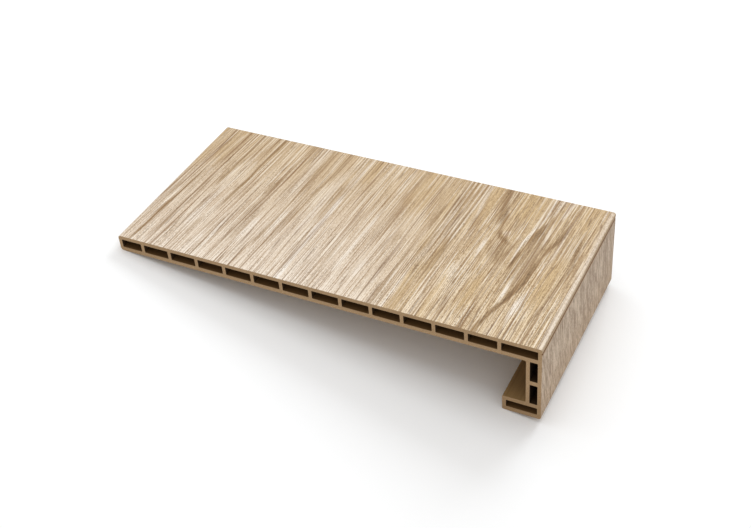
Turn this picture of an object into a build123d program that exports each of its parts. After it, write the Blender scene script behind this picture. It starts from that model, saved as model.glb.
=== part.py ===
from build123d import *

import math
import os

# Hollow extruded stair tread: a walking panel, a drop nose and a hooked lip, all one profile.
# The section is drawn as the tread is used, with the walking face level: x runs from the back edge
# to the nose face and z from the foot of the lip to the walking face. It is extruded along Y, then
# laid down as the piece rests by itself on a floor, on the heel of its back edge and on its lip.
# All sizes are in millimetres.

# Overall sizes
tread_depth = 300.0      # back edge to nose face
cut_length = 140.0       # end to end, along the extrusion
nose_drop = 58.0         # walking face to the foot of the lip

# Walking panel
panel_thick = 12.0
panel_top_wall = 2.7
panel_base_wall = 3.0
back_cell_width = 15.4
front_cell_width = 23.0
middle_cells = 12
web = 2.4                # upright walls between the cells and at the panel's two ends

# Drop nose
nose_thick = 9.8
nose_wall = 2.4
nose_rib = 3.2           # level rib between the two nose cells

# Lip under the nose
lip_depth = 25.0         # measured from the nose face
lip_thick = 11.5
lip_wall = 2.5
lip_base_wall = 3.2
lip_top_wall = 3.0

# Edges
nose_radius = 1.5        # walking face into nose face
toe_radius = 1.5         # nose face into the foot of the lip
heel_radius = 2.0        # underside of the back edge
back_radius = 2.0        # top of the back edge
lip_radius = 0.8         # both back edges of the lip
inner_radius = 1.0       # inside corners behind the nose
cell_radius = 0.5        # corners of every cell
groove_gap = 1.5         # flat of the nose face between its rounded edge and the joint groove
groove_width = 0.8
groove_depth = 0.5

# Levels and stations worked out from the sizes above
panel_base = nose_drop - panel_thick
nose_back = tread_depth - nose_thick
lip_back = tread_depth - lip_depth


def outer_profile():
    """Outline of the whole section, one rounded corner after another from the back edge round."""
    corners = [
        ((0, nose_drop), back_radius),
        ((tread_depth, nose_drop), nose_radius),
        ((tread_depth, 0), toe_radius),
        ((lip_back, 0), lip_radius),
        ((lip_back, lip_thick), lip_radius),
        ((nose_back, lip_thick), inner_radius),
        ((nose_back, panel_base), inner_radius),
        ((0, panel_base), heel_radius),
    ]
    points = [point for point, _ in corners]
    radii = [radius for _, radius in corners]
    return make_face(FilletPolyline(*points, radius=radii, close=True))


def cell(left, right, bottom, top):
    """One hollow of the section, a rectangle with rounded corners."""
    centre = Pos((left + right) / 2, (bottom + top) / 2)
    return centre * RectangleRounded(right - left, top - bottom, cell_radius)


def panel_cells():
    """The row of cells in the walking panel: a narrow one at the back, a wide one over the nose."""
    bottom = panel_base + panel_base_wall
    top = nose_drop - panel_top_wall
    webs = (middle_cells + 3) * web
    middle_width = (tread_depth - back_cell_width - front_cell_width - webs) / middle_cells
    widths = [back_cell_width] + [middle_width] * middle_cells + [front_cell_width]
    cells = []
    left = web
    for width in widths:
        cells.append(cell(left, left + width, bottom, top))
        left += width + web
    return cells


def nose_cells():
    """Two upright cells in the drop nose, between the panel's base and the top of the lip."""
    left = nose_back + nose_wall
    right = tread_depth - nose_wall
    height = (panel_base - lip_thick - nose_rib) / 2
    upper = cell(left, right, panel_base - height, panel_base)
    lower = cell(left, right, lip_thick, lip_thick + height)
    return [upper, lower]


def lip_cell():
    """The one flat cell in the lip, which runs on under the nose."""
    return cell(lip_back + lip_wall, tread_depth - nose_wall, lip_base_wall, lip_thick - lip_top_wall)


def joint_groove():
    """V groove along the nose face, just below the rounded edge, where the two facings meet."""
    upper = nose_drop - nose_radius - groove_gap
    return make_face(
        Polyline(
            (tread_depth, upper),
            (tread_depth - groove_depth, upper - groove_width / 2),
            (tread_depth, upper - groove_width),
            close=True,
        )
    )


def rest_tilt():
    """Angle, in degrees, of the floor line that touches both the heel and the back edge of the lip."""
    reach = lip_back + lip_radius - heel_radius
    fall = panel_base + heel_radius - lip_radius
    slope = math.atan2(fall, reach)
    lift = math.asin((heel_radius - lip_radius) / math.hypot(reach, fall))
    return math.degrees(slope - lift)


def stair_tread():
    """The extruded tread, laid on the floor with the origin at the middle of its footprint."""
    section = outer_profile() - panel_cells() - nose_cells() - lip_cell() - joint_groove()
    tread = extrude(Plane.XZ * section, amount=cut_length / 2, both=True)
    tread = Rot(0, -rest_tilt(), 0) * tread
    box = tread.bounding_box()
    return Pos(-box.center().X, -box.center().Y, -box.min.Z) * tread


os.makedirs("parts", exist_ok=True)
export_step(stair_tread(), "parts/stair_tread.step")
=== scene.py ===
"""Hollow stair tread: printed wood films over the extruded profile, with floor, light and camera.

Everything is worked out in the tread's own level frame, in millimetres: x from the back edge to the
nose face, y along the extrusion from the middle of the length, z up from the foot of the lip. One
function then lays it down as the piece rests on the floor and turns it into metres.
"""
import math
from typing import NamedTuple

import bpy
import numpy as np
from mathutils import Matrix, Vector


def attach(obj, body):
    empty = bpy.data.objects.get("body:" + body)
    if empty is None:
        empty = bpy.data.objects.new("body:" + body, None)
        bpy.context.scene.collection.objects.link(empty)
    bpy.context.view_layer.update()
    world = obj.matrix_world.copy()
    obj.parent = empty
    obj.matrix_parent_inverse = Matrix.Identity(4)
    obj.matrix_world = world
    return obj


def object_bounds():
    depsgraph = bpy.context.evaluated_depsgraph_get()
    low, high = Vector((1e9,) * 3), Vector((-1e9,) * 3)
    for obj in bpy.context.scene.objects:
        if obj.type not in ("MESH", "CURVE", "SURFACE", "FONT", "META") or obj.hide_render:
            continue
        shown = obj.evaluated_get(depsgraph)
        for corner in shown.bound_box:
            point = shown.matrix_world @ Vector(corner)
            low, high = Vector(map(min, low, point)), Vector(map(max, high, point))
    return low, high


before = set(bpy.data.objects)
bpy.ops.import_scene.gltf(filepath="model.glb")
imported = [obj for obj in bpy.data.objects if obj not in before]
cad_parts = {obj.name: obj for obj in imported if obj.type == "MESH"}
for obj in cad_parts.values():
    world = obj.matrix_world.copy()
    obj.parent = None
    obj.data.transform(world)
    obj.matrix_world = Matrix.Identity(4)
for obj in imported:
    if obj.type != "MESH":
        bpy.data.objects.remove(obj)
cad_low, cad_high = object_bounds()

MILLIMETRE = 0.001  # in metres

# Sizes of the profile, in millimetres
TREAD_DEPTH = 300.0
NOSE_DROP = 58.0
PANEL_THICK = 12.0
NOSE_THICK = 9.8
LIP_DEPTH = 25.0
LIP_THICK = 11.5
NOSE_RADIUS = 1.5
GROOVE_GAP = 1.5
TOE_RADIUS = 1.5
HEEL_RADIUS = 2.0
BACK_RADIUS = 2.0
LIP_RADIUS = 0.8
CUT_LENGTH = (cad_high[1] - cad_low[1]) / MILLIMETRE
HALF_LENGTH = CUT_LENGTH / 2
PANEL_BASE = NOSE_DROP - PANEL_THICK
NOSE_BACK = TREAD_DEPTH - NOSE_THICK
LIP_BACK = TREAD_DEPTH - LIP_DEPTH
GROOVE_TOP = NOSE_DROP - NOSE_RADIUS - GROOVE_GAP

# How the piece lies: on the heel of its back edge and the back edge of its lip
REACH = LIP_BACK + LIP_RADIUS - HEEL_RADIUS
FALL = PANEL_BASE + HEEL_RADIUS - LIP_RADIUS
REST_TILT = math.atan2(FALL, REACH) - math.asin((HEEL_RADIUS - LIP_RADIUS) / math.hypot(REACH, FALL))


def turned(x, z):
    """Level x and z turned by the rest tilt: the nose end rises and the back edge goes down."""
    cosine = math.cos(REST_TILT)
    sine = math.sin(REST_TILT)
    return x * cosine - z * sine, x * sine + z * cosine


BACK_REACH = turned(BACK_RADIUS, NOSE_DROP - BACK_RADIUS)[0] - BACK_RADIUS
TOE_REACH = turned(TREAD_DEPTH - TOE_RADIUS, TOE_RADIUS)[0] + TOE_RADIUS
FOOTPRINT_MIDDLE = (BACK_REACH + TOE_REACH) / 2
FLOOR_LEVEL = turned(HEEL_RADIUS, PANEL_BASE + HEEL_RADIUS)[1] - HEEL_RADIUS


def laid_down(x, y, z):
    """Points of the level frame, in millimetres, as they lie on the floor, in metres."""
    turned_x, turned_z = turned(x, z)
    place = np.broadcast_arrays(turned_x - FOOTPRINT_MIDDLE, y, turned_z - FLOOR_LEVEL)
    return np.stack(place, -1) * MILLIMETRE


def level_origin():
    """Where the stored origin lies in the level frame: the turn of laid_down, undone."""
    cosine = math.cos(REST_TILT)
    sine = math.sin(REST_TILT)
    return (
        FOOTPRINT_MIDDLE * cosine + FLOOR_LEVEL * sine,
        0.0,
        FLOOR_LEVEL * cosine - FOOTPRINT_MIDDLE * sine,
    )


LEVEL_ORIGIN = level_origin()


def srgb(red, green, blue):
    """A colour written as screen values from 0 to 255, as the linear colour that shaders take."""
    values = np.array([red, green, blue]) / 255
    linear = np.where(values <= 0.04045, values / 12.92, ((values + 0.055) / 1.055) ** 2.4)
    return (*linear.tolist(), 1.0)


# Shader maths
class Value:
    """One socket of a finish; arithmetic on it adds Math nodes to that finish."""

    def __init__(self, finish, socket):
        self.finish = finish
        self.socket = socket

    def math(self, operation, *values):
        """A Math node of one operation on values and plain numbers."""
        return self.finish.node("ShaderNodeMath", {"operation": operation}, values)

    def __add__(self, other):
        return self.math("ADD", self, other)

    def __radd__(self, other):
        return self.math("ADD", other, self)

    def __sub__(self, other):
        return self.math("SUBTRACT", self, other)

    def __rsub__(self, other):
        return self.math("SUBTRACT", other, self)

    def __mul__(self, other):
        return self.math("MULTIPLY", self, other)

    def __rmul__(self, other):
        return self.math("MULTIPLY", other, self)

    def __truediv__(self, other):
        return self.math("DIVIDE", self, other)

    def __abs__(self):
        return self.math("ABSOLUTE", self)


class Finish:
    """A procedural material around one surface shader.

    node() makes every node: it sets the node's settings first, then the values or links of its sockets.
    """

    def __init__(self, name):
        self.material = bpy.data.materials.new(name)
        self.material.use_nodes = True
        self.tree = self.material.node_tree
        self.shader = self.tree.nodes["Principled BSDF"]

    def node(self, kind, settings=None, inputs=(), output=0):
        """Make a node of a kind and give one of its outputs."""
        made = self.tree.nodes.new(kind)
        for key, value in (settings or {}).items():
            setattr(made, key, value)
        pairs = inputs.items() if isinstance(inputs, dict) else enumerate(inputs)
        for key, value in pairs:
            self.feed(made.inputs[key], value)
        return Value(self, made.outputs[output])

    def feed(self, socket, value):
        """Link a value to a socket, or set a plain number, vector or colour on it."""
        if isinstance(value, Value):
            self.tree.links.new(value.socket, socket)
        else:
            socket.default_value = value

    def surface(self, **sockets):
        """Values or links of the surface shader's own sockets, with underscores for spaces."""
        for key, value in sockets.items():
            self.feed(self.shader.inputs[key.replace("_", " ")], value)

    def level_place(self):
        """Level x, y and z in millimetres: the piece's own coordinates with the tilt undone."""
        place = self.node("ShaderNodeTexCoord", output="Object")
        level = self.node("ShaderNodeMapping", {"vector_type": "POINT"}, {
            "Vector": place,
            "Location": LEVEL_ORIGIN,
            "Rotation": (0.0, REST_TILT, 0.0),
            "Scale": (1 / MILLIMETRE,) * 3,
        })
        split = self.node("ShaderNodeSeparateXYZ", None, [level])
        sockets = split.socket.node.outputs
        return [Value(self, socket) for socket in sockets]

    def attribute(self, name):
        """A number that the piece's mesh carries at each point."""
        return self.node("ShaderNodeAttribute", {"attribute_name": name}, output="Fac")

    def noise(self, u, v, w=0.0, detail=0.0, roughness=0.5):
        """Smooth noise around one half, one feature per unit of u, v and w.

        Where w is a plain number it picks a slice, so that layers of like scale differ.
        """
        place = self.node("ShaderNodeCombineXYZ", None, [u, v, w])
        inputs = {"Vector": place, "Scale": 1.0, "Detail": detail, "Roughness": roughness}
        return self.node("ShaderNodeTexNoise", None, inputs, "Fac")

    def rise(self, value, low, high):
        """Zero below low, one above high and an S-curve between them."""
        settings = {"interpolation_type": "SMOOTHSTEP"}
        return self.node("ShaderNodeMapRange", settings, [value, low, high, 0.0, 1.0])

    def held(self, value):
        """A value kept between 0 and 1."""
        return self.node("ShaderNodeClamp", None, [value])

    def spread(self, noise):
        """Noise stretched over its usual range, so that it fills 0 to 1."""
        return self.rise(noise, 0.3, 0.7)

    def blend(self, amount, first, second):
        """A colour between two colours."""
        settings = {"data_type": "RGBA"}
        return self.node("ShaderNodeMix", settings, {0: amount, 6: first, 7: second}, 2)

    def coated(self, colour, coats):
        """A colour with coats laid over it in turn, each an amount and a colour."""
        for amount, coat in coats:
            colour = self.blend(amount, colour, coat)
        return colour

    def bump(self, height, strength, distance):
        """A normal bent by a height; the distance is in millimetres."""
        inputs = {"Strength": strength, "Distance": distance * MILLIMETRE, "Height": height}
        return self.node("ShaderNodeBump", None, inputs)


# Shapes
def section_path(start, corners, end, step, arc_steps):
    """Points and outward normals along straight runs joined by quarter arcs that turn clockwise.

    A run is a line from one tangent point to the next with the normal on its left. An arc is its
    centre plus its radius times a normal that swings from the run's normal to the run's direction.
    """
    points = []
    normals = []
    here = np.array(start, float)
    for corner, radius in [*corners, (end, 0.0)]:
        run = np.array(corner, float) - here
        ahead = run / np.linalg.norm(run)
        left = np.array([-ahead[1], ahead[0]])
        tangent = corner - ahead * radius
        count = max(2, int(np.linalg.norm(tangent - here) / step) + 1)
        share = np.linspace(0.0, 1.0, count)[:, None]
        points.append(here + share * (tangent - here))
        normals.append(np.broadcast_to(left, (count, 2)))
        here = tangent
        if radius:
            angle = np.linspace(0.0, math.pi / 2, arc_steps + 1)[1:-1, None]
            swing = np.cos(angle) * left + np.sin(angle) * ahead
            points.append(tangent - left * radius + swing * radius)
            normals.append(swing)
            here = tangent - left * radius + ahead * radius
    return np.concatenate(points), np.concatenate(normals)


def path_reach(path):
    """How far along a path each of its points lies."""
    steps = np.linalg.norm(np.diff(path, axis=0), axis=1)
    return np.concatenate([[0.0], np.cumsum(steps)])


def patch_mesh(name, patches):
    """One mesh of several grids. Each patch is (points, fields): points is rows by columns by 3, and
    each field of the same rows and columns becomes a number on the mesh's points. Patches share no
    points, so the edge between two of them stays crisp."""
    places = []
    faces = []
    fields = {}
    first = 0
    for points, values in patches:
        rows, columns = points.shape[:2]
        index = first + np.arange(rows * columns).reshape(rows, columns)
        corners = (index[:-1, :-1], index[1:, :-1], index[1:, 1:], index[:-1, 1:])
        faces.append(np.stack([corner.ravel() for corner in corners], -1))
        places.append(points.reshape(-1, 3))
        for key, value in values.items():
            fields.setdefault(key, []).append(np.broadcast_to(value, (rows, columns)).ravel())
        first += rows * columns
    mesh = bpy.data.meshes.new(name)
    mesh.from_pydata(np.concatenate(places).tolist(), [], np.concatenate(faces).tolist())
    mesh.polygons.foreach_set("use_smooth", np.ones(len(mesh.polygons), bool))
    for key, parts in fields.items():
        attribute = mesh.attributes.new(key, "FLOAT", "POINT")
        attribute.data.foreach_set("value", np.concatenate(parts).astype(np.float32))
    piece = bpy.data.objects.new(name, mesh)
    bpy.context.scene.collection.objects.link(piece)
    return piece


# The films, in millimetres
FILM_THICK = 0.12
FILM_ROOT = 0.25     # how far a film's edge goes down into the profile
FILM_INSET = 0.02    # how far a film's edge stays inside the end of its face
FILM_OVERRUN = 1.0   # how far a film runs on past the rounded edge at which it ends
SEAM_WIDTH = 1.8     # bare strip between the two films, from the top of the joint groove down


def film_rows(count):
    """Stations along the length, from one edge of a film to the other."""
    edge = HALF_LENGTH - FILM_INSET
    return np.linspace(-edge, edge, count)[None, :]


def film(name, path, normals, girth, along, fields, relief):
    """A film on the profile: the section path carried along y and lifted by the film's thickness plus
    its relief, with a short edge all round that goes down into the profile."""
    lift = FILM_THICK + relief
    x = path[:, :1] + normals[:, :1] * lift
    z = path[:, 1:] + normals[:, 1:] * lift
    root_x = path[:, :1] - normals[:, :1] * FILM_ROOT
    root_z = path[:, 1:] - normals[:, 1:] * FILM_ROOT
    y = np.broadcast_to(along, x.shape)
    face = laid_down(x, y, z)
    root = laid_down(root_x, y, root_z)
    values = dict(fields, girth=np.broadcast_to(girth[:, None], x.shape))
    patches = [(face, values)]
    # the four edges of the face: which points, the axis across the edge, and which way its rim turns
    edges = [
        (np.s_[:1], 0, 1),
        (np.s_[-1:], 0, -1),
        (np.s_[:, :1], 1, 1),
        (np.s_[:, -1:], 1, -1),
    ]
    for edge, axis, turn in edges:
        rim = np.concatenate([root[edge], face[edge]][::turn], axis)
        patches.append((rim, {key: value[edge] for key, value in values.items()}))
    piece = patch_mesh(name, patches)
    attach(piece, "root")
    return piece


# Figure of the walking face
LATTICE_SIZE = 256
POINTS_PER_BEND = 6


def eased(low, high, value):
    """S-curve from 0 at low to 1 at high."""
    share = np.clip((value - low) / (high - low), 0.0, 1.0)
    return share * share * (3 - 2 * share)


def lattice_noise(u, v, seed):
    """Smooth noise from 0 to 1: random numbers on a lattice of whole steps, blended by S-curves."""
    table = np.random.default_rng(seed).random((LATTICE_SIZE, LATTICE_SIZE))
    column = np.floor(u).astype(int)
    row = np.floor(v).astype(int)
    share_u = eased(0.0, 1.0, u - column)
    share_v = eased(0.0, 1.0, v - row)

    def corner(step_u, step_v):
        """Random numbers at one corner of each point's cell of the lattice."""
        return table[(column + step_u) % LATTICE_SIZE, (row + step_v) % LATTICE_SIZE]

    low = corner(0, 0) * (1 - share_u) + corner(1, 0) * share_u
    high = corner(0, 1) * (1 - share_u) + corner(1, 1) * share_u
    return low * (1 - share_v) + high * share_v


def eased_line(stations):
    """A line along stations (x, y), eased by a running mean.

    It has even steps: its two ends, and a few points more for each station between them.
    """
    stations = np.array(stations, float)
    reach = path_reach(stations)
    count = 2 + POINTS_PER_BEND * (len(stations) - 2)
    even = np.linspace(0.0, reach[-1], count)
    line = np.stack([np.interp(even, reach, stations[:, axis]) for axis in (0, 1)], -1)
    inner = (line[:-2] + 2 * line[1:-1] + line[2:]) / 4
    return np.concatenate([line[:1], inner, line[-1:]])


def line_offset(x, y, line):
    """Signed distance to a line, and how far its nearest point lies from its start and from its end.

    The sign comes from the cross product with the nearest piece of the line: for a line that runs
    towards the near end it is positive on the nose side.
    """
    shape = np.broadcast(x, y).shape
    nearest = np.full(shape, np.inf)
    side = np.zeros(shape)
    travelled = np.zeros(shape)
    reach = path_reach(line)
    for index, step in enumerate(np.diff(reach)):
        run = line[index + 1] - line[index]
        from_x = x - line[index, 0]
        from_y = y - line[index, 1]
        along = np.clip((from_x * run[0] + from_y * run[1]) / (run @ run), 0.0, 1.0)
        off_x = from_x - along * run[0]
        off_y = from_y - along * run[1]
        distance = np.hypot(off_x, off_y)
        closer = distance < nearest
        nearest = np.where(closer, distance, nearest)
        side = np.where(closer, run[0] * off_y - run[1] * off_x, side)
        travelled = np.where(closer, reach[index] + along * step, travelled)
    return np.sign(side) * nearest, travelled, reach[-1] - travelled


class Strand(NamedTuple):
    """One strand of the figure, in millimetres: stations (x from the back edge, y from the near end),
    full width, how softly the side behind and the side ahead fade, and strength."""
    stations: list
    width: float
    behind: float
    ahead: float
    strength: float


# The strands, each from its far to its near end: stations, width, fade behind, fade ahead and strength.
# The long strand ahead of the arch is laid in three lengths of one line, which overlap.
LONG_LINE = [
    (275.2, 125), (274, 103), (272.4, 96), (270.6, 87), (269, 77), (267.8, 66), (266.8, 55),
    (265.2, 44), (262.6, 33), (259.4, 25), (257, 17), (255.4, 8), (254.5, -2),
]
TAUPE_STRANDS = [
    # the arch: its back limb, its foot and the limb on the nose side
    Strand(
        [(226, 142), (227.3, 130), (228.6, 120), (230.5, 112), (232, 104), (234.2, 88)],
        2.6, 2.4, 1.6, 0.80,
    ),
    Strand([(229, 128), (233.6, 115), (234.4, 92)], 1.4, 3.0, 0.7, 0.80),
    Strand(
        [(233.6, 110), (235, 97), (236.4, 91.5), (239, 88.6), (243, 86), (247, 84), (257, 79)],
        1.7, 3.2, 0.8, 0.82,
    ),
    Strand([(240, 94), (242, 56)], 8.0, 4.0, 4.0, 0.55),
    Strand(
        [(266.6, 129), (262.2, 117), (259.8, 110), (258.3, 103), (256.8, 96), (254.4, 76)],
        1.8, 0.7, 3.0, 0.98,
    ),
    Strand([(256.4, 98), (254.6, 80), (253.7, 70), (252.6, 46)], 1.1, 0.7, 1.0, 0.92),
    Strand([(250.5, 99), (248.6, 86), (247.6, 76), (247.5, 60)], 0.9, 1.0, 1.0, 0.50),
    # the long strand ahead of the arch, and the shade between them
    Strand([(262.5, 116), (261, 78), (260, 36)], 8.0, 3.0, 3.0, 0.45),
    Strand(LONG_LINE[:6], 1.3, 1.6, 0.7, 0.90),
    Strand([(270.8, 90)] + LONG_LINE[4:10], 2.6, 1.6, 0.9, 0.85),
    Strand(LONG_LINE[5:], 1.9, 1.5, 0.8, 0.90),
    Strand([(275.2, 126), (274, 102), (271.4, 84)], 1.0, 0.9, 0.5, 0.80),
    # beside the nose edge
    Strand(
        [(286, 112), (288, 92), (289, 76), (287.8, 56), (285.8, 41), (284, 30), (282, 6)],
        1.0, 2.2, 0.9, 0.66,
    ),
    # behind the arch
    Strand([(212.5, 115), (215, 102), (216.7, 90), (217.2, 76)], 1.2, 1.4, 0.7, 0.55),
    Strand([(226.8, 46), (226.4, 32)], 1.0, 0.8, 0.6, 0.70),
    Strand([(210, 90), (207.6, 60), (206, 26)], 1.3, 1.0, 1.0, 0.50),
    # the middle
    Strand([(93.3, 142), (92.5, 104), (91.5, 66), (89.5, 42), (88.5, 12)], 0.9, 0.7, 0.9, 0.60),
    Strand([(99, 110), (98.5, 72), (96.5, 34), (95.5, 10)], 0.7, 0.8, 0.8, 0.50),
    Strand([(107.3, 142), (106, 114), (103, 94), (101, 68), (100, 44)], 0.8, 0.7, 0.8, 0.60),
    Strand([(119.5, 116), (118, 88), (116.5, 66), (116, 44)], 2.6, 2.5, 0.8, 0.42),
    Strand([(145.5, 94), (144, 68), (142.5, 44), (142.2, 0)], 0.9, 0.8, 1.0, 0.55),
    Strand([(166.5, 142), (165, 120), (164, 106)], 1.3, 1.0, 1.4, 0.65),
    Strand([(164, 108), (162.5, 84), (161.5, 58), (161, 40)], 4.5, 2.0, 1.5, 0.32),
    Strand([(175.7, 80), (175.3, 50)], 2.0, 2.0, 2.0, 0.35),
    Strand([(193.5, 122), (191.5, 100), (190.6, 70)], 1.4, 1.0, 1.0, 0.65),
    Strand([(189.2, 76), (187.8, 40), (186.8, -2)], 0.6, 0.8, 0.9, 0.58),
    # the back part
    Strand([(36, 142), (34.5, 118), (33, 98), (31.8, 80), (30.8, 60)], 0.9, 1.0, 1.1, 0.78),
    Strand(
        [(53.8, 142), (52, 120), (50.4, 102), (49.8, 88), (48.6, 70), (47, 38)],
        1.0, 1.1, 1.0, 0.85,
    ),
    Strand([(15.4, 102), (14, 78), (12, 58), (10.3, 44), (9, 26), (7, 0)], 0.9, 0.9, 1.1, 0.80),
    Strand([(24, 92), (22.8, 74), (21.2, 54), (20.2, 30), (19.8, 2)], 0.9, 1.0, 0.9, 0.55),
    Strand([(23.7, 142), (22.8, 120)], 0.9, 0.8, 0.8, 0.60),
    Strand([(72.5, 102), (71, 84), (70.5, 66)], 2.5, 2.0, 2.5, 0.40),
    Strand([(71.5, 78), (70.5, 46), (69.5, 14)], 6.5, 1.6, 3.5, 0.30),
    Strand([(44.5, 54), (42, 36), (40.5, 20), (39.5, 2)], 0.8, 0.8, 0.8, 0.55),
    Strand([(46.8, 84), (45, 70)], 0.8, 0.8, 0.8, 0.50),
]
PARALLEL_STRANDS = [
    Strand(
        [(far, 142), (far - 1.1, 100), (far - 3.0, 60), (far - 4.8, 18)],
        width=0.5, behind=0.5, ahead=0.7, strength=0.62,
    )
    for far in (197.2, 200.0, 203.0, 206.7, 209.8, 212.4)
]
PALE_PARALLELS = [
    Strand(
        [(far, 142), (far - 1.1, 100), (far - 3.0, 60)],
        width=0.5, behind=0.5, ahead=0.5, strength=0.55,
    )
    for far in (198.7, 201.6, 205.0, 208.3, 211.2)
]
GOLD_STRANDS = [
    Strand([(241.5, 60), (239, 2)], 5.0, 4.0, 4.0, 0.85),
    Strand([(245, 142), (245, 98)], 9.0, 4.0, 4.0, 0.90),
    Strand([(281, 96), (279, 18)], 5.0, 3.0, 3.0, 0.90),
    Strand([(286, 142), (284, 104)], 6.0, 3.0, 3.0, 0.65),
    Strand([(218, 142), (219, 90)], 6.0, 3.0, 3.0, 0.60),
    Strand([(219, 58), (218.5, 0)], 3.0, 2.0, 2.0, 0.65),
    Strand([(206.5, 84), (206, -2)], 3.0, 1.5, 2.5, 0.65),
    Strand([(200.5, 64), (200, -2)], 5.0, 2.0, 2.0, 0.80),
    Strand([(195, 132), (193.5, 44)], 3.0, 2.0, 2.0, 0.60),
    Strand([(173, 142), (172, 80)], 10.0, 5.0, 5.0, 0.45),
    Strand([(130, 142), (128, 100)], 5.0, 3.0, 3.0, 0.45),
    Strand([(17, 142), (16, 90)], 6.0, 3.0, 3.0, 0.45),
    Strand([(3, 142), (3, 80)], 4.0, 3.0, 3.0, 0.45),
]
PALE_STRANDS = [
    # cream lines about the arch
    Strand(
        [(258.4, 142), (258.0, 120), (256.9, 109), (254.4, 99), (252.6, 89), (251.8, 64)],
        1.0, 0.8, 0.5, 0.80,
    ),
    Strand([(262, 142), (261.6, 114)], 1.0, 0.6, 0.6, 0.75),
    Strand([(270.5, 142), (268.8, 129), (266.6, 113)], 1.6, 1.0, 1.2, 0.65),
    Strand([(265, 120), (264.9, 82)], 1.0, 0.8, 0.8, 0.60),
    Strand([(276, 128), (275.6, 104), (274.8, 66)], 0.9, 0.7, 0.8, 0.50),
    Strand([(238, 98), (242, 90)], 2.4, 2.0, 2.0, 0.45),
    Strand([(250, 98), (247.5, 88)], 1.2, 1.0, 1.0, 0.45),
    Strand([(268.8, 44), (268.0, 6)], 0.6, 0.7, 0.5, 0.75),
    Strand([(270.3, 52), (269.4, 4)], 1.0, 0.6, 0.6, 0.95),
    Strand([(272.0, 54), (271.2, 14)], 0.8, 0.5, 0.7, 0.85),
    Strand([(272.8, 82), (272.5, 52)], 0.7, 0.6, 0.6, 0.55),
    Strand([(259.3, 56), (258.8, 24)], 0.9, 0.8, 0.5, 0.80),
    # a painted highlight along the nose edge
    Strand([(296.4, 144), (296.6, -4)], 0.4, 4.0, 0.8, 0.26),
    # behind the arch
    Strand([(230.4, 94), (229.2, 60)], 1.1, 0.7, 0.7, 0.75),
    Strand([(213.6, 142), (213.6, 118), (216.4, 96)], 1.0, 1.0, 0.8, 0.60),
    Strand([(218.4, 98), (218, 78)], 0.8, 0.6, 0.8, 0.45),
    Strand([(222, 60), (222, 34)], 2.2, 2.2, 2.2, 0.28),
    # the middle
    Strand([(125.2, 142), (124, 118), (122, 92)], 0.9, 0.7, 0.6, 0.75),
    Strand([(123, 106), (121.8, 54), (120.8, -2)], 2.2, 1.4, 1.0, 0.92),
    Strand([(114, 134), (112.5, 96), (110, 30)], 3.0, 2.5, 2.0, 0.32),
    Strand([(132, 46), (130, -2)], 6.0, 4.0, 4.0, 0.22),
    Strand([(155, 94), (153, 54), (151.5, 6)], 1.2, 1.0, 1.0, 0.50),
    Strand([(166, 44), (165.5, 12)], 2.4, 1.5, 1.5, 0.40),
    Strand([(180.6, 74), (179.4, 4)], 0.9, 0.8, 0.8, 0.55),
    Strand([(189.2, 46), (188.2, 8)], 0.8, 0.6, 0.6, 0.50),
    Strand([(195.2, 44), (194.4, -2)], 0.9, 0.7, 0.7, 0.50),
    # the back part
    Strand([(88.8, 142), (87, 70)], 3.4, 3.0, 2.5, 0.35),
    Strand([(95, 80), (92.4, 22)], 1.8, 1.0, 1.0, 0.45),
    Strand([(79.5, 64), (77.5, 36), (75.5, 8)], 2.2, 1.0, 2.0, 0.50),
    Strand([(59, 56), (57.4, 0)], 0.9, 0.6, 0.8, 0.60),
    Strand([(51.5, 34), (50, 0)], 1.5, 1.2, 1.2, 0.45),
    Strand([(38.5, 84), (37, 50), (35, 16)], 2.6, 2.0, 2.0, 0.45),
    Strand([(18.6, 96), (18.4, 80)], 0.9, 0.8, 0.8, 0.50),
]
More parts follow.
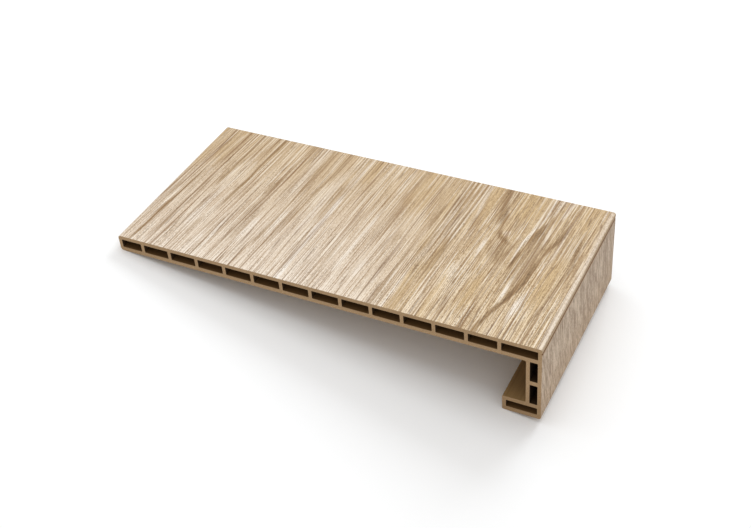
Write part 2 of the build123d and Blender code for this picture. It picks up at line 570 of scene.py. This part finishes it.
THIN_LINES = [
    # the back part
    [(11.2, 142), (10.8, 100)], [(25.6, 114), (25, 94)], [(22.8, 50), (22.2, 12)],
    [(28.6, 48), (28, 4)], [(35, 76), (33.3, 54), (31.4, 6)],
    [(63, 94), (61.5, 66), (60, 44), (59.7, 6)], [(58.4, 58), (57, 34), (55.2, 0)],
    [(69.3, 114), (68.2, 100)], [(68, 42), (67.4, 16)], [(76.8, 15), (76.6, 0)],
    [(84.4, 142), (83, 116)], [(81.6, 50), (80.8, 16)], [(85.4, 30), (85, 0)],
    # the middle
    [(104.4, 42), (103.8, 20)], [(119.2, 142), (118.2, 112)], [(131.6, 142), (131, 120)],
    [(119, 48), (118.2, 0)], [(130, 46), (129.6, 10)], [(137.5, 60), (136, 30)],
    [(150.5, 138), (149.8, 118)], [(162.6, 26), (161.4, 4)], [(178.6, 54), (177.6, 0)],
    [(185.2, 30), (184.6, 0)], [(197, 138), (195.6, 84)], [(199.2, 52), (198.2, 32)],
    [(200, 130), (198.8, 90)], [(204.8, 118), (203, 70)],
    # about the arch
    [(213.6, 35), (213.2, 0)], [(217.2, 14), (217, 0)], [(220, 72), (221.4, 64)],
    [(226, 32), (224.6, 14), (224.2, 0)], [(228.6, 34), (227.4, 4)], [(230.6, 28), (230.2, 0)],
    [(235.4, 17), (236, 0)], [(245.2, 31), (245, 0)], [(250, 32), (251.6, 0)],
    [(232, 142), (231.8, 122)], [(240, 122), (239.4, 104)], [(242.6, 120), (241.6, 94)],
    [(246.6, 118), (246, 100)], [(234.2, 97), (236.2, 90.5), (239, 87.5)], [(254.4, 82), (252.8, 58)],
    # ahead of the arch
    [(264.2, 142), (263.8, 122)], [(271.6, 128), (271, 104)], [(274.4, 110), (273.8, 98), (271.8, 86)],
    [(265.2, 50), (262.4, 32), (258, 22)], [(263.4, 15), (263, 0)], [(270.2, 12), (270, 0)],
    [(273.2, 48), (272.8, 0)], [(277, 33), (276.8, 0)], [(280.6, 84), (278.6, 70), (277, 52)],
    [(284.4, 134), (285.6, 116)], [(280, 126), (280.4, 116)], [(292.6, 126), (293.4, 118)],
    [(290.8, 44), (290, 18), (289, 0)],
]
THIN_STRANDS = [
    Strand(stations, width=0.3, behind=0.5, ahead=0.5, strength=0.85)
    for stations in THIN_LINES
]


FIBRE_SLIP = 3.0   # how far fibres slip against each other along the board
TIP_REACH = 18.0   # longest taper at a strand's end
TIP_SHARE = 0.35   # longest taper as a share of the strand's length
TIP_COMB = 0.4     # share of a taper that is combed into fibres


def strands_over(x, y, strands):
    """How much of the strands lies at each point, from 0 to 1.

    A strand is full within its width and fades beyond it by S-curves. Each fibre has slipped a little
    along the board, which frays what runs across the grain. The sides are feathered along the grain,
    and an end that lies on the board tapers to nothing over a share of the strand's length, combed
    into fibres. Strands are laid over each other: one minus the product of what each one leaves.
    """
    y = y + FIBRE_SLIP * (lattice_noise(x / 0.7, y / 60, 43) - 0.5)
    feather = lattice_noise(x / 1.1, y / 18, 41) - 0.5
    comb = lattice_noise(x / 0.8, y / 90, 42)
    bare = np.ones(np.broadcast(x, y).shape)
    for strand in strands:
        offset, from_start, from_end = line_offset(x, y, eased_line(strand.stations))
        tip = np.minimum(TIP_REACH, TIP_SHARE * (from_start + from_end))
        taper = 1.0
        if strand.stations[0][1] < CUT_LENGTH:
            taper = taper * eased(0.0, tip, from_start - TIP_COMB * tip * comb)
        if strand.stations[-1][1] > 0:
            taper = taper * eased(0.0, tip, from_end - TIP_COMB * tip * comb)
        half = taper * strand.width / 2
        cover = eased(-half - strand.behind, -half, offset + feather * strand.behind)
        cover = cover * (1 - eased(half, half + strand.ahead, offset + feather * strand.ahead))
        bare = bare * (1 - strand.strength * taper * cover)
    return 1 - bare


# How the square-on drawing of the strands lies on the face: its bow across and its lean along the board
BOW_AT_BACK = -2.2
BOW_SLOPE = 0.0104
BOW_BEND = -0.000038
LEAN_AT_BACK = 0.026
LEAN_SLOPE = -0.000097


def drawn_across(x, y):
    """Where a point of the face lies across the square-on drawing that holds the strands' stations.

    The drawing is bowed a little against the face, and it leans along the length, most at the back edge.
    """
    bow = BOW_AT_BACK + BOW_SLOPE * x + BOW_BEND * x * x
    lean = (LEAN_AT_BACK + LEAN_SLOPE * x) * y
    return x + bow + lean


# The grain's course: how it leans across the board, more so near the back edge, and how far it wanders
GRAIN_LEAN = 0.03
BACK_LEAN = 0.025
BACK_LEAN_FADE = (40.0, 110.0)
SLOW_WANDER = 1.5
QUICK_WANDER = 1.0


def walking_figure(x, y):
    """Grain across the board, its ridges and its four layers of strands, at points of the walking face.

    The grain coordinate is x with a slight lean and a slow wander, so that streaks follow it. Ridges
    are two layers of noise, long along the board and narrow across it.
    """
    lean = GRAIN_LEAN + BACK_LEAN * (1 - eased(*BACK_LEAN_FADE, x))
    slow = lattice_noise(x / 40 + 7, y / 120 + 3, 11) - 0.5
    quick = lattice_noise(x / 9, y / 45, 12) - 0.5
    grain = x - lean * (y - HALF_LENGTH) + (SLOW_WANDER * slow + QUICK_WANDER * quick)
    coarse_ridge = lattice_noise(grain / 1.7, y / 110 + 9, 21)
    fine_ridge = lattice_noise(grain / 0.95, y / 60, 22)
    drawn_x = drawn_across(x, y)
    return {
        "grain": grain,
        "ridge": 0.55 * coarse_ridge + 0.45 * fine_ridge,
        "shade": strands_over(drawn_x, y, TAUPE_STRANDS + PARALLEL_STRANDS),
        "gold": strands_over(drawn_x, y, GOLD_STRANDS),
        "gleam": strands_over(drawn_x, y, PALE_STRANDS + PALE_PARALLELS),
        "thin": strands_over(drawn_x, y, THIN_STRANDS),
    }


# The walking film: how its points are spaced, and the relief of its grain; lengths in millimetres
WALKING_STEP = 0.48
WALKING_ROWS = 152
EDGE_ARC_STEPS = 12
RIDGE_HEIGHT = 0.05
SHADE_DEPTH = 0.04
THIN_DEPTH = 0.03
GLEAM_HEIGHT = 0.02


def add_walking_film():
    """The pale film: up over the back edge, along the walking face and round the nose to the groove.

    Its girth runs along the section path and is counted so that it equals x on the walking face.
    """
    path, normals = section_path(
        (0, NOSE_DROP - BACK_RADIUS - FILM_OVERRUN),
        [((0, NOSE_DROP), BACK_RADIUS), ((TREAD_DEPTH, NOSE_DROP), NOSE_RADIUS)],
        (TREAD_DEPTH, GROOVE_TOP + FILM_INSET),
        WALKING_STEP,
        EDGE_ARC_STEPS,
    )
    girth = path_reach(path)
    on_top = np.argmax(path[:, 0] >= BACK_RADIUS)
    girth = girth - girth[on_top] + BACK_RADIUS
    along = film_rows(WALKING_ROWS)
    fields = walking_figure(girth[:, None], along + HALF_LENGTH)
    relief = (
        RIDGE_HEIGHT * (fields["ridge"] - 0.5)
        - SHADE_DEPTH * fields["shade"]
        - THIN_DEPTH * fields["thin"]
        + GLEAM_HEIGHT * fields["gleam"]
    )
    return film("walking_film", path, normals, girth, along, fields, relief)


# The nose film: how its points are spaced, its grain's course and its relief; lengths in millimetres
NOSE_STEP = 0.5
NOSE_ROWS = 320
TOE_ARC_STEPS = 8
NOSE_SWAY = 3.0
NOSE_SLANT = 0.16
NOSE_RIDGE_HEIGHT = 0.04


def add_nose_film():
    """The greyer film on the nose face: from the joint groove down and round the toe.

    Its grain runs down the nose with a slight slant and sway, and its ridges are two layers of noise.
    """
    path, normals = section_path(
        (TREAD_DEPTH, GROOVE_TOP - SEAM_WIDTH),
        [((TREAD_DEPTH, 0), TOE_RADIUS)],
        (TREAD_DEPTH - TOE_RADIUS - FILM_OVERRUN, 0),
        NOSE_STEP,
        TOE_ARC_STEPS,
    )
    girth = path_reach(path)
    along = film_rows(NOSE_ROWS)
    down = girth[:, None]
    sway = lattice_noise(along / 30 + 5, down / 40, 31) - 0.5
    grain = along + (NOSE_SWAY * sway - NOSE_SLANT * down)
    coarse_ridge = lattice_noise(grain / 2.2 + 60, down / 22, 32)
    fine_ridge = lattice_noise(grain / 1.0 + 120, down / 9, 33)
    ridge = 0.6 * coarse_ridge + 0.4 * fine_ridge
    fields = {"grain": grain, "ridge": ridge}
    relief = NOSE_RIDGE_HEIGHT * (ridge - 0.5)
    return film("nose_film", path, normals, girth, along, fields, relief)


# Finishes
FILM_SPECULAR = 0.35

# Colours of the pale film; a pair holds the dark and the pale end of its grain
PALE_OAK = (srgb(170, 138, 97), srgb(237, 223, 206))
NOSE_SIDE_OAK = (srgb(154, 119, 72), srgb(228, 206, 172))
# towards the far end: partly the print's tone, partly painted shade
FAR_SIDE_OAK = (srgb(148, 115, 73), srgb(204, 178, 140))
GOLD_OAK = (srgb(148, 113, 64), srgb(212, 183, 137))
TAUPE_OAK = (srgb(98, 68, 34), srgb(165, 134, 93))
CREAM_OAK = (srgb(216, 199, 177), srgb(247, 240, 231))
GLINT_COLOUR = srgb(243, 233, 217)
HAIR_COLOUR = srgb(138, 102, 60)
LINE_COLOUR = srgb(128, 92, 53)
THIN_COLOUR = srgb(114, 82, 47)
PORE_COLOUR = srgb(100, 72, 42)
# painted highlight along the top of the rounded nose edge, and painted shade where the film turns down
EDGE_HIGHLIGHT_COLOUR = srgb(230, 216, 199)
TURN_SHADE_COLOUR = srgb(158, 128, 90)

# Stretches over which the print of the pale film changes, in millimetres
PAST_BACK = (85.0, 115.0)
PAST_MIDDLE = (175.0, 205.0)
TO_NOSE = (150.0, 250.0)
# where the painted highlight and the painted shade lie on the rounded nose edge
EDGE_HIGHLIGHT_FROM = (296.3, 298.8)
TURN_SHADE_FROM = (299.6, 300.6)
NEAR_EDGE_WIDTH = 14.0


def walking_grain(finish, grain, along, girth):
    """Layers of the pale print around zero, from broad bands along the grain to fine flecks."""
    band = finish.noise(grain / 13, along / 150, 1.3, detail=1.0) - 0.5
    broad = finish.noise(grain / 3.8, along / 110, 8.3, detail=1.0) - 0.5
    streak = finish.noise(grain / 1.0, along / 80, 4.1, detail=1.0, roughness=0.6) - 0.5
    fibre = finish.noise(grain / 0.42, along / 30, 7.7, detail=1.0) - 0.5
    short = finish.noise(grain / 0.55, along / 7, 14.3) - 0.5
    speckle = finish.noise(girth / 0.4, along / 0.55, 2.7) - 0.5
    fleck = finish.noise(grain / 0.6, along / 2.0, 12.1) - 0.5
    return band, broad, streak, fibre, short, speckle, fleck


def walking_marks(finish, grain, along):
    """Marks of the pale print, from 0 to 1: glints, hairs, lines that come and go, and rows of pores."""
    glint = finish.rise(finish.noise(grain / 0.6, along / 45, 13.7), 0.60, 0.66)
    hair = finish.rise(finish.noise(grain / 0.55, along / 50, 3.7), 0.61, 0.65)
    thread = 1 - finish.rise(finish.noise(grain / 0.85, along / 160, 6.4), 0.30, 0.37)
    spell = finish.rise(finish.noise(grain / 2.2, along / 70, 2.9), 0.40, 0.52)
    dots = finish.rise(finish.noise(grain / 0.5, along / 1.2, 5.5), 0.52, 0.62)
    row = finish.rise(finish.noise(grain / 0.8, along / 45, 9.9), 0.55, 0.62)
    return glint, hair, thread * spell, dots * row


def walking_finish():
    """Pale oak print: grain and the figure's strands, then marks, then a painted highlight and painted
    shade on the rounded nose edge.
    """
    finish = Finish("pale_oak_film")
    _, along, _ = finish.level_place()
    girth = finish.attribute("girth")
    grain = finish.attribute("grain")
    ridge = finish.attribute("ridge")
    shade = finish.attribute("shade")
    gold = finish.attribute("gold")
    gleam = finish.attribute("gleam")
    thin = finish.attribute("thin")
    band, broad, streak, fibre, short, speckle, fleck = walking_grain(finish, grain, along, girth)
    glint, hair, line, pore = walking_marks(finish, grain, along)

    # where on the face the print changes; it is calmest in the middle, lighter along the near end, and
    # darker and yellower towards the far end, partly print and partly painted shade
    nose_side = finish.rise(girth, *TO_NOSE)
    far_side = finish.rise(along, -HALF_LENGTH, HALF_LENGTH)
    near_edge = 1 - finish.rise(along, -HALF_LENGTH, NEAR_EDGE_WIDTH - HALF_LENGTH)
    past_back = finish.rise(girth, *PAST_BACK)
    calm = past_back * (1 - finish.rise(girth, *PAST_MIDDLE))
    # painted shade where the film turns down over the nose edge, and a painted highlight above it
    turn_shade = finish.rise(girth, *TURN_SHADE_FROM)
    edge_highlight = finish.rise(girth, *EDGE_HIGHLIGHT_FROM) * (1 - turn_shade)

    # the grain runs from a dark to a pale colour, and nose side, far side and strands shift both
    grey = (
        0.25 * band
        + (0.1 + 0.35 * nose_side) * broad
        + (0.2 + 0.8 * nose_side) * streak
        + 0.15 * (ridge - 0.5)
        + (1.4 + 0.3 * nose_side) * fibre
        + 1.1 * nose_side * short
        + 1.1 * speckle
        + (0.5 + 0.4 * past_back) * fleck
    )
    tone = (
        0.67
        - 0.05 * nose_side
        + (1 - 0.3 * calm - 0.35 * gold - 0.2 * shade) * grey
        + (0.1 + 0.1 * nose_side) * near_edge
    )
    shifts = [
        (nose_side, NOSE_SIDE_OAK),
        ((0.85 + 0.15 * nose_side) * far_side, FAR_SIDE_OAK),
        (0.9 * gold, GOLD_OAK),
        ((1.1 - 0.4 * calm) * shade * (1 - 0.7 * streak - 0.3 * fibre), TAUPE_OAK),
        ((0.9 - 0.25 * far_side) * gleam, CREAM_OAK),
    ]
    dark = finish.coated(PALE_OAK[0], [(amount, pair[0]) for amount, pair in shifts])
    pale = finish.coated(PALE_OAK[1], [(amount, pair[1]) for amount, pair in shifts])

    # marks over the grain; then a painted highlight along the top of the rounded nose edge, and painted
    # shade where the film turns down over it
    colour = finish.coated(finish.blend(finish.held(tone), dark, pale), [
        ((0.45 + 0.06 * nose_side) * glint * (1 - 0.9 * shade) * (1 - 0.6 * gold), GLINT_COLOUR),
        ((0.57 + 0.08 * nose_side) * hair * (1 - 0.5 * gold), HAIR_COLOUR),
        ((0.65 - 0.14 * calm) * line, LINE_COLOUR),
        (0.85 * thin, THIN_COLOUR),
        ((0.42 + 0.1 * nose_side) * pore, PORE_COLOUR),
        ((0.56 - 0.14 * far_side) * edge_highlight * (1 + 2 * fleck), EDGE_HIGHLIGHT_COLOUR),
        (0.75 * turn_shade, TURN_SHADE_COLOUR),
    ])
    height = 0.5 * fibre + 0.4 * streak + 0.3 * speckle - 0.5 * line - 0.6 * pore
    finish.surface(
        Base_Color=colour,
        Roughness=0.55 + 0.12 * fibre + 0.1 * pore,
        Normal=finish.bump(height, strength=0.35, distance=0.05),
        Specular_IOR_Level=FILM_SPECULAR,
    )
    return finish.material


# Colours of the nose film, and where it is browner: millimetres down from its upper edge
GREY_OAK = (srgb(148, 123, 98), srgb(204, 184, 160))
NOSE_FOOT_COLOUR = srgb(174, 143, 108)
NOSE_HEAD_COLOUR = srgb(176, 140, 96)
NOSE_PORE_COLOUR = srgb(122, 98, 76)
NOSE_FOOT = (18.0, 54.0)
NOSE_HEAD = (0.0, 1.5)


def nose_finish():
    """Greyer print with upright grain: soft bands, streaks, flecks and short dark pores.

    It is browner towards the foot and at its upper edge, and darker towards the far end as painted
    shade.
    """
    finish = Finish("grey_oak_film")
    _, along, _ = finish.level_place()
    grain = finish.attribute("grain")
    ridge = finish.attribute("ridge")
    down = finish.attribute("girth")
    band = finish.noise(grain / 9, down / 45, 2.2, detail=1.0) - 0.5
    streak = finish.noise(grain / 2.4, down / 40, 9.1, detail=1.0) - 0.5
    fleck = finish.noise(grain / 1.0, down / 14, 6.1, detail=1.0) - 0.5
    speckle = finish.noise(along / 0.7, down / 1.6, 3.3) - 0.5
    pore = finish.rise(finish.noise(grain / 0.8, down / 6, 8.8), 0.60, 0.68)
    foot = finish.rise(down, *NOSE_FOOT)
    head = 1 - finish.rise(down, *NOSE_HEAD)
    # painted shade: darker towards the far end
    far_end = finish.rise(along, 0.0, HALF_LENGTH)
    tone = (
        0.51
        - 0.12 * far_end
        + 0.7 * band
        + 1.2 * streak
        + 0.6 * (ridge - 0.5)
        + 2.6 * fleck
        + 1.1 * speckle
    )
    colour = finish.coated(finish.blend(finish.held(tone), *GREY_OAK), [
        (0.35 * foot, NOSE_FOOT_COLOUR),
        (0.6 * head, NOSE_HEAD_COLOUR),
        (0.55 * pore, NOSE_PORE_COLOUR),
    ])
    height = 0.5 * fleck + 0.3 * speckle - 0.6 * pore
    finish.surface(
        Base_Color=colour,
        Roughness=0.58 + 0.1 * speckle,
        Normal=finish.bump(height, strength=0.3, distance=0.05),
        Specular_IOR_Level=FILM_SPECULAR,
    )
    return finish.material


# Colours of the raw profile; a pair holds the dark and the pale end of its texture
DIE_SKIN = (srgb(134, 106, 66), srgb(144, 115, 74))
# painted shade in the cells: walls and ceilings darker than upward floors, the nose's cells darkest
CELL_SHADE_COLOUR = srgb(50, 31, 14)
CELL_FLOOR_SHADE_COLOUR = srgb(96, 67, 35)
NOSE_CELL_SHADE_COLOUR = srgb(22, 14, 7)
SEAM_COLOUR = srgb(112, 76, 36)
SAWN_CORE = (srgb(152, 122, 88), srgb(175, 146, 110))
FLAKE_COLOUR = srgb(198, 174, 140)
# painted shade on the cut ends towards the foot
CUT_FOOT_SHADE_COLOUR = srgb(134, 105, 72)

# Where the raw profile changes colour, in millimetres
WALL_DEPTH = (0.8, 1.6)   # depths in a wall between which an outer face's colour gives way to a cell's
SEAM_DEPTH = (0.6, 0.4)   # behind the nose face
SEAM_DROP = (8.0, 7.0)    # below the walking face
# heights above the foot of the lip over which the painted shade on the cut ends fades out
CUT_FOOT_SHADE = (6.0, 30.0)     # above the foot of the lip

# How far a normal has to lie along an axis before its face counts as facing that way
FACING = (0.7, 0.9)


def inside(finish, place, low, high):
    """One between two outer faces and zero at both, turning within the walls."""
    start, full = WALL_DEPTH
    past_low = finish.rise(place, low + start, low + full)
    past_high = finish.rise(place, high - full, high - start)
    return past_low * (1 - past_high)


def inside_block(finish, x, up, back, base, top):
    """One inside a block of the section, from its back to the nose face and between base and top."""
    return inside(finish, x, back, TREAD_DEPTH) * inside(finish, up, base, top)


def core_finish():
    """Raw wood-plastic: sawn and speckled on the cut ends, elsewhere die lines along the extrusion.

    Its cells carry painted shade, darker on walls and ceilings than on upward floors and darkest in the
    nose;
    the cut ends carry painted shade towards the foot. The nose's zone laps into the lip and the panel,
    whose walls close its cells.
    """
    finish = Finish("raw_wood_plastic")
    x, along, up = finish.level_place()
    normal = finish.node("ShaderNodeTexCoord", output="Normal")
    sawn = finish.rise(abs(finish.node("ShaderNodeSeparateXYZ", None, [normal], "Y")), *FACING)
    upward = finish.rise(finish.node("ShaderNodeSeparateXYZ", None, [normal], "Z"), *FACING)
    lap = sum(WALL_DEPTH)
    in_panel = inside_block(finish, x, up, 0.0, PANEL_BASE, NOSE_DROP)
    in_nose = inside_block(finish, x, up, NOSE_BACK, LIP_THICK - lap, PANEL_BASE + lap)
    in_lip = inside_block(finish, x, up, LIP_BACK, 0.0, LIP_THICK)
    hollow = 1 - (1 - in_panel) * (1 - in_nose) * (1 - in_lip)
    seam_behind = finish.rise(x, *[TREAD_DEPTH - depth for depth in SEAM_DEPTH])
    seam_below = finish.rise(up, *[NOSE_DROP - drop for drop in SEAM_DROP])

    flour = finish.noise(x / 0.5, up / 0.5, along / 0.5, detail=2.0)
    flake = finish.rise(finish.noise(x / 0.9, up / 0.35, along / 1.6), 0.62, 0.72)
    saw_line = finish.noise(x / 30, up / 0.28, along / 30)
    die_line = finish.noise(x / 0.8, up / 0.8, along / 160, detail=2.0)
    # die lines, then painted shade in the cells and the dark seam behind the nose face
    skin_and_cell_shade = finish.coated(finish.blend(finish.spread(die_line), *DIE_SKIN), [
        (0.9 * hollow, finish.blend(upward, CELL_SHADE_COLOUR, CELL_FLOOR_SHADE_COLOUR)),
        (0.7 * in_nose, NOSE_CELL_SHADE_COLOUR),
        (seam_behind * seam_below, SEAM_COLOUR),
    ])
    # sawn core with flakes, and painted shade towards the foot
    cut = finish.coated(finish.blend(finish.spread(flour), *SAWN_CORE), [
        (0.35 * flake, FLAKE_COLOUR),
        (0.4 * (1 - finish.rise(up, *CUT_FOOT_SHADE)), CUT_FOOT_SHADE_COLOUR),
    ])
    height = sawn * (0.5 * saw_line + 0.5 * flour) + (1 - sawn) * die_line
    finish.surface(
        Base_Color=finish.blend(sawn, skin_and_cell_shade, cut),
        Roughness=0.62 + 0.16 * sawn,
        Normal=finish.bump(height, strength=0.4, distance=0.08),
        Specular_IOR_Level=0.3,
    )
    return finish.material


# Pieces
walking_film = add_walking_film()
walking_film.data.materials.append(walking_finish())
nose_film = add_nose_film()
nose_film.data.materials.append(nose_finish())
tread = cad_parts["stair_tread"]
tread.data.materials.clear()
tread.data.materials.append(core_finish())


# Floor, camera and light
FLOOR_HALF = 6.0  # in metres
FLOOR_COLOUR = (0.97, 0.97, 0.97, 1.0)


def add_floor():
    """A level square well past the picture's edges."""
    side = np.array([-FLOOR_HALF, FLOOR_HALF])
    x, y = np.meshgrid(side, side, indexing="ij")
    floor = patch_mesh("floor", [(np.stack([x, y, np.zeros_like(x)], -1), {})])
    finish = Finish("pale_floor")
    finish.surface(Base_Color=FLOOR_COLOUR, Roughness=0.9, Specular_IOR_Level=0.1)
    floor.data.materials.append(finish.material)


# The camera: its place in the level frame and its sensor in millimetres, its picture in pixels
CAMERA_PLACE = (467.62, -555.8, 549.33)
CAMERA_YAW = math.radians(-29.28)
CAMERA_PITCH = math.radians(39.42)
CAMERA_ROLL = math.radians(-5.19)
FOCAL_PIXELS = 1216.6
PICTURE_WIDTH = 751
SENSOR_WIDTH = 36.0
NEAREST_SEEN = 0.01  # in metres


def add_camera():
    """Pinhole camera with axes from yaw, pitch and roll in the level frame, laid down with the tread."""
    forward = np.array([
        math.sin(CAMERA_YAW) * math.cos(CAMERA_PITCH),
        math.cos(CAMERA_YAW) * math.cos(CAMERA_PITCH),
        -math.sin(CAMERA_PITCH),
    ])
    level_right = np.array([math.cos(CAMERA_YAW), -math.sin(CAMERA_YAW), 0.0])
    level_up = np.cross(level_right, forward)
    right = math.cos(CAMERA_ROLL) * level_right + math.sin(CAMERA_ROLL) * level_up
    up = -math.sin(CAMERA_ROLL) * level_right + math.cos(CAMERA_ROLL) * level_up
    axes = []
    for axis in (right, up, -forward):
        x, z = turned(axis[0], axis[2])
        axes.append(Vector((x, axis[1], z)))
    data = bpy.data.cameras.new("camera")
    data.sensor_width = SENSOR_WIDTH
    data.lens = FOCAL_PIXELS / PICTURE_WIDTH * SENSOR_WIDTH
    data.clip_start = NEAREST_SEEN
    camera = bpy.data.objects.new("camera", data)
    bpy.context.scene.collection.objects.link(camera)
    pose = Matrix(axes).transposed().to_4x4()
    pose.translation = Vector(laid_down(*CAMERA_PLACE))
    camera.matrix_world = pose
    bpy.context.scene.camera = camera


SKY_COLOUR = (1.0, 0.975, 0.955, 1.0)
SKY_STRENGTH = 0.72
LAMP_COLOUR = (0.90, 0.96, 1.0)
LAMP_TARGET = (0.0, 0.0, 0.03)


def add_softbox(name, place, size, power):
    """A square area lamp that looks at the middle of the tread; place and size are in metres."""
    data = bpy.data.lights.new(name, "AREA")
    data.size = size
    data.energy = power
    data.color = LAMP_COLOUR
    lamp = bpy.data.objects.new(name, data)
    bpy.context.scene.collection.objects.link(lamp)
    lamp.location = place
    lamp.rotation_euler = (Vector(LAMP_TARGET) - Vector(place)).to_track_quat("-Z", "Y").to_euler()


def add_sky():
    """Even light from all round, a trace warmer than the lamps."""
    world = bpy.data.worlds.new("studio")
    bpy.context.scene.world = world
    world.use_nodes = True
    background = world.node_tree.nodes["Background"]
    background.inputs["Color"].default_value = SKY_COLOUR
    background.inputs["Strength"].default_value = SKY_STRENGTH


add_floor()
add_camera()
add_sky()
add_softbox("key", place=(-0.3, 0.0, 1.0), size=0.8, power=3.3)
add_softbox("rim", place=(0.1, 0.95, 0.8), size=0.6, power=5.9)

bpy.context.scene.view_settings.view_transform = "Standard"
